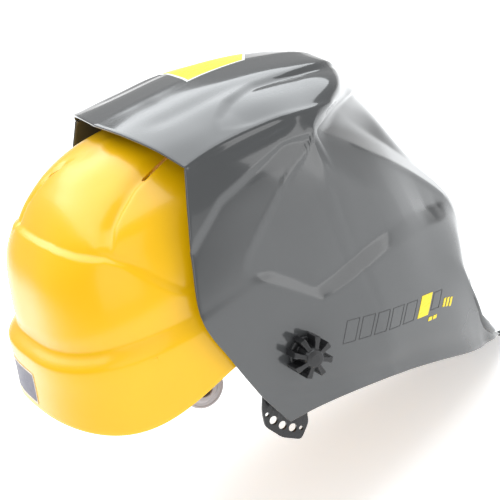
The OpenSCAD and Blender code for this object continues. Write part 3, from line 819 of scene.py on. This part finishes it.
# sockets inside the shell for the strap anchors and the side adapters
def socket(name, a, x0, x1, y0, y1, z0, z1, hx0, hx1, hy0, hy1, hz0, hz1, turn=True):
    V = []
    for (p0, p1, q0, q1, r0, r1) in ((x0, x1, y0, y1, z0, z1),):
        V = [(p0, q0, r0), (p1, q0, r0), (p1, q1, r0), (p0, q1, r0), (p0, q0, r1), (p1, q0, r1), (p1, q1, r1), (p0, q1, r1)]
    W = [(hx0, hy0, hz0), (hx1, hy0, hz0), (hx1, hy1, hz0), (hx0, hy1, hz0), (hx0, hy0, hz1), (hx1, hy0, hz1), (hx1, hy1, hz1), (hx0, hy1, hz1)]
    F = [[0, 3, 2, 1], [4, 5, 6, 7], [0, 1, 5, 4], [1, 2, 6, 5], [2, 3, 7, 6], [3, 0, 4, 7]]

    def tr(L):
        if not turn:
            return L
        ca, sa = math.cos(math.radians(a)), math.sin(math.radians(a))
        return [(-5 + x * ca - y * sa, x * sa + y * ca, z) for x, y, z in L]
    ob = new_mesh(name, tr(V), F)
    boolean(ob, new_mesh("t", tr(W), F))
    return bevel(ob, 0.5)


for a in (60, -60, 120, -120):
    far = 115 if abs(a) == 60 else 110.5
    put(socket(f"anchor_socket_{a}".replace("-", "m"), a, 107.6, far, -11, 11, 50.2, 64.8, 106, 110.4, -6.1, 6.1, 53.9, 62.1), "hat", M_HAT, slot="hat_yellow")
for s, side in ((1, "left"), (-1, "right")):
    y0, y1 = sorted((97.2 * s, 106.8 * s))
    h0, h1 = sorted((99.4 * s, 102.1 * s))
    put(socket(f"side_socket_{side}", 0, -1, 31, y0, y1, 42.2, 57, 3.9, 26.1, h0, h1, 40, 60, turn=False), "hat", M_HAT, slot="hat_yellow")


# ------------------------------------------------------------------ films on the shells
def tree_of(ob):
    me = ob.data
    return BVHTree.FromPolygons([v.co / MM for v in me.vertices], [list(p.vertices) for p in me.polygons])


HOOD_TREE, HAT_TREE = tree_of(hood), tree_of(hat)


def on_surface(tree, origin, direction, lift):
    hit, nrm, _, _ = tree.ray_cast(Vector(origin), Vector(direction))
    if hit is None:
        return None, None
    n = Vector(nrm)
    if n.dot(Vector(direction)) > 0:
        n = -n
    return hit + n * lift, n


def film(name, quads, project, thick=0.22, lift=0.04, step=1.2):
    """Thin closed patches that lie on a shell. quads are four corners each in 2D; project gives a surface point and normal."""
    V, F = [], []
    for q in quads:
        p = [np.array(v, float) for v in q]
        nu = max(1, int(max(np.linalg.norm(p[1] - p[0]), np.linalg.norm(p[2] - p[3])) / step + 0.5))
        nv = max(1, int(max(np.linalg.norm(p[3] - p[0]), np.linalg.norm(p[2] - p[1])) / step + 0.5))
        lo, hi, ok = [], [], True
        for i in range(nu + 1):
            for j in range(nv + 1):
                u, v = i / nu, j / nv
                w = (1 - u) * (1 - v) * p[0] + u * (1 - v) * p[1] + u * v * p[2] + (1 - u) * v * p[3]
                a, n = project(w[0], w[1])
                if a is None:
                    ok = False
                    break
                lo.append(a + n * lift)
                hi.append(a + n * (lift + thick))
            if not ok:
                break
        if not ok:
            continue
        b = len(V)
        V += [tuple(x) for x in lo] + [tuple(x) for x in hi]
        k, m = (nu + 1) * (nv + 1), nv + 1
        for i in range(nu):
            for j in range(nv):
                s = [i * m + j, (i + 1) * m + j, (i + 1) * m + j + 1, i * m + j + 1]
                F.append([b + t for t in s[::-1]])
                F.append([b + k + t for t in s])
        ring = [i * m for i in range(nu + 1)] + [nu * m + j for j in range(1, m)] + [i * m + m - 1 for i in range(nu - 1, -1, -1)] + [j for j in range(m - 2, 0, -1)]
        for t in range(len(ring)):
            t2 = (t + 1) % len(ring)
            F.append([b + ring[t], b + ring[t2], b + k + ring[t2], b + k + ring[t]])
    return new_mesh(name, V, F, 30)


def side_project(s):
    def f(x, z):
        return on_surface(HOOD_TREE, (x, 160 * s, z), (0, -s, 0), 0)
    return f


def roof_project(x, y):
    return on_surface(HOOD_TREE, (x, y, 230), (0, 0, -1), 0)


def rear_project(y, z):
    return on_surface(HAT_TREE, (-170, y, z), (1, 0, 0), 0)


def frame_quads(q, w):
    """Four thin quads round the border of a quad, w mm wide."""
    p = [np.array(v, float) for v in q]
    c = sum(p) / 4
    inner = []
    for i in range(4):
        a, b, d = p[i - 1], p[i], p[(i + 1) % 4]
        e1, e2 = (a - b) / np.linalg.norm(a - b), (d - b) / np.linalg.norm(d - b)
        sn = abs(e1[0] * e2[1] - e1[1] * e2[0])
        inner.append(b + (e1 + e2) * w / max(sn, 0.3))
    return [[p[i], p[(i + 1) % 4], inner[(i + 1) % 4], inner[i]] for i in range(4)]


# a row of plain outlined bars, then one solid yellow bar and short yellow dashes: no lettering
ROW0, ROW1 = np.array([60.0, 10.0]), np.array([134.0, -17.0])
RD = (ROW1 - ROW0) / np.linalg.norm(ROW1 - ROW0)
RU = np.array([-RD[1], RD[0]]) + 0.35 * RD


def bar(t0, t1, h0=0.0, h1=15.0):
    return [ROW0 + RD * t0 + RU * h0, ROW0 + RD * t1 + RU * h0, ROW0 + RD * t1 + RU * h1, ROW0 + RD * t0 + RU * h1]


for s, side in ((-1, "right"), (1, "left")):
    pr = side_project(s)
    lines = []
    for k in range(5):
        lines += frame_quads(bar(2 + 13 * k, 12.4 + 13 * k, 0, 15 - 0.3 * k), 0.42)
    lines += frame_quads(bar(80.5, 89, 2, 14), 0.42)
    ob = film(f"side_outline_{side}", lines, pr, thick=0.12)
    put(ob, "hood", M_LINE, slot="hood_grey")
    ye = film(f"side_yellow_{side}", [bar(68, 78.5, 0, 15), bar(80.5, 84, -5.0, -2.4), bar(85.2, 88.7, -5.0, -2.4), bar(93, 95.2, 1, 7), bar(96.6, 98.8, 0.4, 6.4), bar(100.2, 102.4, -0.4, 5.6)], pr)
    put(ye, "hood", M_YEL, *(["side_decals"] if s == -1 else []), slot="decal_yellow")
ST = [(75, -6), (118, 0), (135, 38), (79, 52)]
put(film("roof_sticker", [ST], roof_project, thick=0.25, step=2), "hood", M_YEL, "roof_decal", slot="decal_yellow")
put(film("roof_sticker_border", frame_quads([(73, -8.4), (119.4, -1.8), (137.4, 40.2), (77, 54.6)], 1.7), roof_project, thick=0.28, lift=0.05), "hood", M_WHITE, slot="decal_yellow")
LB = [(36, 60), (-7, 59), (-7, 40), (36, 41)]
put(film("nape_label_visual", [LB], rear_project, thick=0.25, step=1.5), "hat", M_SLATE, "nape_label", slot="label_slate")
put(film("nape_label_border", frame_quads([(37, 61.2), (-8.2, 60.2), (-8.2, 38.8), (37, 39.8)], 1.2), rear_project, thick=0.32, lift=0.05), "hat", M_CREAM, slot="label_slate")

# ------------------------------------------------------------------ star knobs
def star_knob(name, s):
    bm = bmesh.new()

    def block(x0, x1, y0, y1o, y1i, w0, w1, a):
        vs = []
        for x, w, yt in ((x0, w0, y1i), (x1, w1, y1o)):
            for y in (y0, yt):
                for sgn in (-1, 1):
                    vs.append((x, y, sgn * w))
        ca, sa = math.cos(a), math.sin(a)
        pts = [bm.verts.new(((K[0] + x * ca - z * sa) * MM, s * y * MM, (K[2] + x * sa + z * ca) * MM)) for x, y, z in vs]
        for f in ([0, 1, 3, 2], [4, 6, 7, 5], [0, 4, 5, 1], [2, 3, 7, 6], [0, 2, 6, 4], [1, 5, 7, 3]):
            bm.faces.new([pts[i] for i in f])

    def drum(prof):
        n = 64
        rings = []
        for r, y in prof:
            rings.append([bm.verts.new(((K[0] + r * math.cos(2 * math.pi * i / n)) * MM, s * y * MM, (K[2] + r * math.sin(2 * math.pi * i / n)) * MM)) for i in range(n)])
        for r0, r1 in zip(rings[:-1], rings[1:]):
            for i in range(n):
                bm.faces.new([r0[i], r0[(i + 1) % n], r1[(i + 1) % n], r1[i]])
        bm.faces.new(rings[0][::-1])
        bm.faces.new(rings[-1])
    drum([(11.7, 118.3), (11.7, 120.0), (11.0, 120.7), (5, 120.9)])
    drum([(8.0, 118.4), (7.6, 124), (6.9, 131), (5.6, 133.6), (3.0, 134.2)])
    for k in range(8):
        a = math.radians(45 * k + 8)
        block(2.0, 13.9, 118.5, 131.0, 133.4, 1.25, 1.75, a)
        block(11.2, 14.1, 118.5, 130.6, 131.6, 1.9, 2.05, a)
    bmesh.ops.recalc_face_normals(bm, faces=bm.faces)
    me = bpy.data.meshes.new(name)
    bm.to_mesh(me)
    bm.free()
    ob = bpy.data.objects.new(name, me)
    SC.collection.objects.link(ob)
    return voxel(ob, 0.24, rounds=5, factor=0.5)


put(star_knob("star_knob_left_visual", 1), "knob_left", M_KNOB, "star_knob_left", slot="black_plastic")
put(star_knob("star_knob_right_visual", -1), "knob_right", M_KNOB, "star_knob_right", slot="black_plastic")

# ------------------------------------------------------------------ position plates
HOLES = [(-0.3, -15.0, 2.9), (3.9, -21.7, 2.9), (9.5, -27.2, 2.9), (-2.6, -9.0, 1.5), (14.6, -30.7, 1.5)]
for s, side in ((1, "left"), (-1, "right")):
    y0, y1 = sorted((105.1 * s, 107.4 * s))
    body = round_poly([(44, 29), (46, 12), (33, -4), (23.5, -21.5), (21, -30), (11.5, -38), (0, -29), (-7.2, -16), (-5, -6), (0.5, 5), (9, 17), (22, 28), (33, 31.5)], 3, 6)
    pl = prism("t_plate", body, y0, y1)
    for hx, hz, hr in HOLES:
        boolean(pl, cyl("t", (hx, 0, hz), hr, y0 - 3, y1 + 3, 40))
    boolean(pl, cyl("t", K, 4.1, y0 - 3, y1 + 3, 48))
    pl.name = f"position_plate_{side}"
    bevel(pl, 0.45, 3)
    put(pl, "hat", M_PLATE, *(["position_plates"] if s == 1 else []), slot="black_plastic")

# ------------------------------------------------------------------ pivot rings
for s, side in ((1, "left"), (-1, "right")):
    prof = [(6.0, 81.2), (14.0, 81.2), (14.6, 81.8), (14.7, 82.8), (14.2, 83.5), (13.2, 83.6), (12.9, 83.2), (10.6, 83.2), (10.2, 83.6), (9.4, 84.0), (9.2, 85.0), (8.7, 85.4), (6.5, 85.4), (6.0, 85.0)]
    put(lathe(f"pivot_ring_{side}", prof, PV, sign=s, n=96, angle=30), "hat", M_RING, *(["pivot_rings"] if s == 1 else []), slot="ring_grey")


# ------------------------------------------------------------------ soft pieces
def ribbon(name, centre, width_dir, half, thick, closed=False, crown=0.0, seg=14, stitch=False, inward=None):
    """A strip with rounded edges along centre points. inward gives the direction of its thickness at each point."""
    V, F, UV = [], [], []
    n = len(centre)
    prof = []
    for k in range(seg + 1):
        a = math.pi * k / seg
        prof.append((-math.cos(a), math.sin(a)))
    run = 0.0
    for i in range(n):
        c, w, q = centre[i], width_dir[i], inward[i]
        if i:
            run += float(np.linalg.norm(centre[i] - centre[i - 1]))
        endt = 1.0 if closed else min(1.0, 0.25 + 0.75 * math.sin(math.pi * min(i, n - 1 - i) / 10)) if min(i, n - 1 - i) < 5 else 1.0
        for k in range(seg + 1):
            u = -1 + 2 * k / seg
            h = (1 - abs(u) ** 6) ** 0.5
            pad = 1 + crown * (1 - u * u)
            if stitch:
                pad *= 1 - 0.30 * math.exp(-((abs(u) - 0.78) / 0.05) ** 2)
            V.append(c + w * (u * half) + q * (thick / 2 * h * pad * endt))
        for k in range(seg, -1, -1):
            u = -1 + 2 * k / seg
            h = (1 - abs(u) ** 6) ** 0.5
            V.append(c + w * (u * half) - q * (thick / 2 * h * endt * 0.96))
    m = 2 * (seg + 1)
    for i in range(n - 1):
        for k in range(m):
            k2 = (k + 1) % m
            F.append([i * m + k, i * m + k2, (i + 1) * m + k2, (i + 1) * m + k])
    F.append(list(range(m))[::-1])
    F.append([(n - 1) * m + k for k in range(m)])
    me = bpy.data.meshes.new(name)
    me.from_pydata((np.array(V) * MM).tolist(), [], F)
    uvl = me.uv_layers.new(name="UVMap")
    run = np.concatenate([[0], np.cumsum([np.linalg.norm(centre[i] - centre[i - 1]) for i in range(1, n)])])
    for p in me.polygons:
        for li in p.loop_indices:
            v = me.loops[li].vertex_index
            i, k = divmod(v, m)
            kk = k if k <= seg else m - 1 - k
            uvl.data[li].uv = (run[i] * 0.01, (kk / seg * 2 * half) * 0.01)
    ob = bpy.data.objects.new(name, me)
    SC.collection.objects.link(ob)
    smooth(ob, 60)
    return ob


for name, a, r in (("crown_strap_a", 60, 102.0), ("crown_strap_b", -60, 100.65)):
    ang = np.radians(np.linspace(6, 174, 120))
    ca, sa = math.cos(math.radians(a)), math.sin(math.radians(a))
    C0 = np.array([[-5 + r * math.cos(q) * ca, r * math.cos(q) * sa, 48 + r * math.sin(q)] for q in ang])
    W = np.tile([-sa, ca, 0], (len(ang), 1))
    Q = np.array([[math.cos(q) * ca, math.cos(q) * sa, math.sin(q)] for q in ang])
    ob = ribbon(name + "_web", C0, W, 9.4, 1.15, inward=-Q, seg=16)
    put(ob, "hat", M_WEB, name, slot="webbing")


def hb(t, d):
    return np.array([6 + (100 - d) * math.cos(t), (76 - d) * math.sin(t), 0])


ts = np.radians(np.linspace(-69, 69, 90))
C0 = np.array([hb(t, 4.3) + [0, 0, 31] for t in ts])
Q = np.array([hb(t, 5.3) - hb(t, 4.3) for t in ts])
Q /= np.linalg.norm(Q, axis=1, keepdims=True)
sweat = ribbon("sweatband_pad", C0, np.tile([0, 0, 1.0], (90, 1)), 11.8, 3.7, crown=0.10, stitch=True, inward=Q, seg=26)
put(sweat, "hat", M_KNIT, "sweatband", slot="foam")


def nb(t, d):
    return np.array([-30 - (38 - d) * math.sin(t), (79.3 - d) * math.cos(t), 0.0])


ts = np.radians(np.linspace(57, 123, 70))
C0 = transform_local(np.array([nb(t, 6.7) for t in ts]), PV, NT)
C1 = transform_local(np.array([nb(t, 7.7) for t in ts]), PV, NT)
Wd = transform_local(np.array([[0, 0, 1.0]]), (0, 0, 0), NT)[0]
Q = (C1 - C0) / np.linalg.norm(C1 - C0, axis=1, keepdims=True)
pad = ribbon("nape_pad_visual", C0, np.tile(Wd, (70, 1)), 9.8, 3.7, crown=0.10, stitch=True, inward=Q, seg=26)
put(pad, "nape_band", M_KNIT, "nape_pad", slot="foam")

# ------------------------------------------------------------------ carried-over CAD pieces
FINISH = {
    "strap_anchors": M_BLACK, "headband": M_BLACK, "slot_adapter_left": M_BLACK, "slot_adapter_right": M_BLACK,
    "arm_plates": M_BLACK, "arm_rivets": M_STEEL, "clamp_studs": M_STEEL, "friction_washers": M_RUB,
    "nape_guide_left": M_BLACK, "nape_guide_right": M_BLACK, "nape_band_left": M_BLACK, "nape_band_right": M_BLACK,
    "ratchet_housing": M_BLACK, "ratchet_knob": M_BLACK, "ratchet_pinion": M_STEEL,
    "front_cover": M_CLEAR, "filter_case": M_BLACK, "filter_glass": M_FILTER, "solar_cell": M_SOLAR, "arc_sensors": M_SENSOR,
    "inner_cover": M_CLEAR, "retainer_frame": M_BLACK, "retainer_screws": M_STEEL, "shade_dial": M_BLACK,
    "sensitivity_dial": M_BLACK, "delay_dial": M_BLACK, "test_button": M_BUTTON, "battery_drawer": M_BLACK,
    "battery_cell": M_STEEL, "knob_insert_left": M_BRASS, "knob_insert_right": M_BRASS}
for node_name, mat in FINISH.items():
    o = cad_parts[node_name]
    o.data.materials.clear()
    o.data.materials.append(mat)

# ------------------------------------------------------------------ floor, light
def stage_plane(name, size, z, colour):
    me = bpy.data.meshes.new(name)
    s = size
    me.from_pydata([(-s, -s, z), (s, -s, z), (s, s, z), (-s, s, z)], [], [(0, 1, 2, 3)])
    ob = bpy.data.objects.new(name, me)
    SC.collection.objects.link(ob)
    m, nt, bs, tc = nodes_of(name + "_mat")
    n = noise(nt, tc, 2.0, 2)
    c = ramp(nt, n.outputs["Fac"], [(0.3, colour), (0.7, tuple(min(1, v * 1.01) for v in colour))])
    nt.links.new(c.outputs["Color"], bs.inputs["Base Color"])
    bs.inputs["Roughness"].default_value = 0.9
    bs.inputs["Specular IOR Level"].default_value = 0.1
    bs.inputs["Emission Color"].default_value = (1, 1, 1, 1)
    bs.inputs["Emission Strength"].default_value = 0.5
    ob.data.materials.append(m)
    return ob


stage_plane("floor", 30, CAD_BOX[0][2] - 0.0015, (0.93, 0.93, 0.93))


def area(name, loc, target, size, energy, size_y=None):
    d = bpy.data.lights.new(name, "AREA")
    d.energy = energy
    d.size = size
    if size_y:
        d.shape = "RECTANGLE"
        d.size_y = size_y
    o = bpy.data.objects.new(name, d)
    SC.collection.objects.link(o)
    o.location = loc
    o.rotation_euler = (Vector(target) - Vector(loc)).to_track_quat("-Z", "Y").to_euler()
    return o


area("overhead", (0.22, 0.5, 1.3), (0.06, 0, 0.06), 2.4, 46).data.color = (0.94, 0.975, 1.0)
area("key_left", (-0.9, -1.2, 0.9), (0.0, -0.05, 0.05), 1.4, 6)
area("ledge_strip", (1.05, -1.15, 0.28), (0.06, -0.1, 0.04), 0.8, 3.6)
world = bpy.data.worlds.new("world")
SC.world = world
world.use_nodes = True
world.node_tree.nodes["Background"].inputs["Color"].default_value = (1, 1, 1, 1)
world.node_tree.nodes["Background"].inputs["Strength"].default_value = 0.42
SC.view_settings.view_transform = "Standard"
